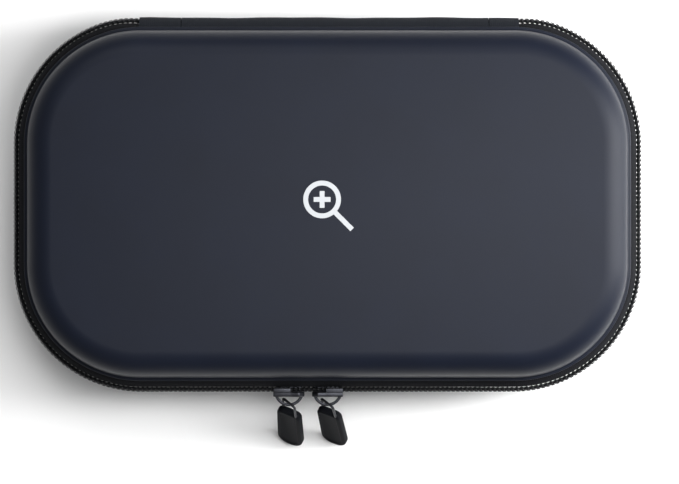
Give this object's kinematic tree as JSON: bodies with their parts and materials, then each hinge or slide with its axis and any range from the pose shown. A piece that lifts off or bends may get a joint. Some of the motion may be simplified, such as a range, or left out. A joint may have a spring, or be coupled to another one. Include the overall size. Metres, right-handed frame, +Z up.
{
  "type": "low vision magnifier case",
  "caption": "Moulded hard-shell zip case for a hand-held low vision magnifier, with a fabric spine hinge, sliders with rubber pulls, a net pocket and an elastic strap.",
  "frame": {"origin": "centre of the base's flat resting face", "axes": "+Z up, +Y towards the fabric spine, +X to the right of somebody who faces the sliders"},
  "size_m": [0.1962, 0.136, 0.0461],
  "materials": {
    "skin": "soft matt grained coating",
    "foam": "matt closed-cell foam",
    "lining": "knitted, matt",
    "binding": "ribbed tape",
    "tape": "woven",
    "coil": "nylon",
    "spine": "woven",
    "net": "open net",
    "elastic": "ribbed elastic",
    "sign": "printed film",
    "slider_metal": "gunmetal",
    "pull_rubber": "matt"
  },
  "bodies": {
    "base": {"base_skin": "skin", "base_foam": "foam", "base_lining": "lining", "base_binding": "binding", "base_zip_tape": "tape", "base_zip_coil": "coil", "spine_strip": "spine", "spine_lining": "lining", "left_end_tab": "spine", "right_end_tab": "spine", "strap_elastic": "elastic", "strap_anchor_patches": "spine"},
    "lid": {"lid_skin": "skin", "lid_foam": "foam", "lid_lining": "lining", "lid_binding": "binding", "lid_zip_tape": "tape", "lid_zip_coil": "coil", "mesh_pocket": "net", "pocket_elastic": "elastic", "lid_emblem": "sign"},
    "left_slider": {"left_slider_body": "slider_metal", "left_slider_crown": "slider_metal"},
    "left_pull": {"left_pull_loop": "slider_metal", "left_pull_tab": "pull_rubber"},
    "right_slider": {"right_slider_body": "slider_metal", "right_slider_crown": "slider_metal"},
    "right_pull": {"right_pull_loop": "slider_metal", "right_pull_tab": "pull_rubber"}
  },
  "joints": [
    {"name": "lid_hinge", "type": "hinge", "parent": "base", "child": "lid", "pos_m": [0, 0.0589, 0.023], "axis": [-1, 0, 0], "range_deg": [0, 180], "deforming": ["spine_strip", "spine_lining", "left_end_tab", "right_end_tab"]},
    {"name": "left_slider_travel", "type": "slide", "parent": "base", "child": "left_slider", "axis": [-1, 0, 0], "range_m": [0, 0.04]},
    {"name": "right_slider_travel", "type": "slide", "parent": "base", "child": "right_slider", "axis": [1, 0, 0], "range_m": [0, 0.052]},
    {"name": "left_pull_swing", "type": "hinge", "parent": "left_slider", "child": "left_pull", "pos_m": [-0.0121, -0.06302, 0.023], "axis": [-1, 0, 0], "range_deg": [-30, 140]},
    {"name": "right_pull_swing", "type": "hinge", "parent": "right_slider", "child": "right_pull", "pos_m": [0, -0.06302, 0.023], "axis": [-1, 0, 0], "range_deg": [-30, 140]}
  ]
}
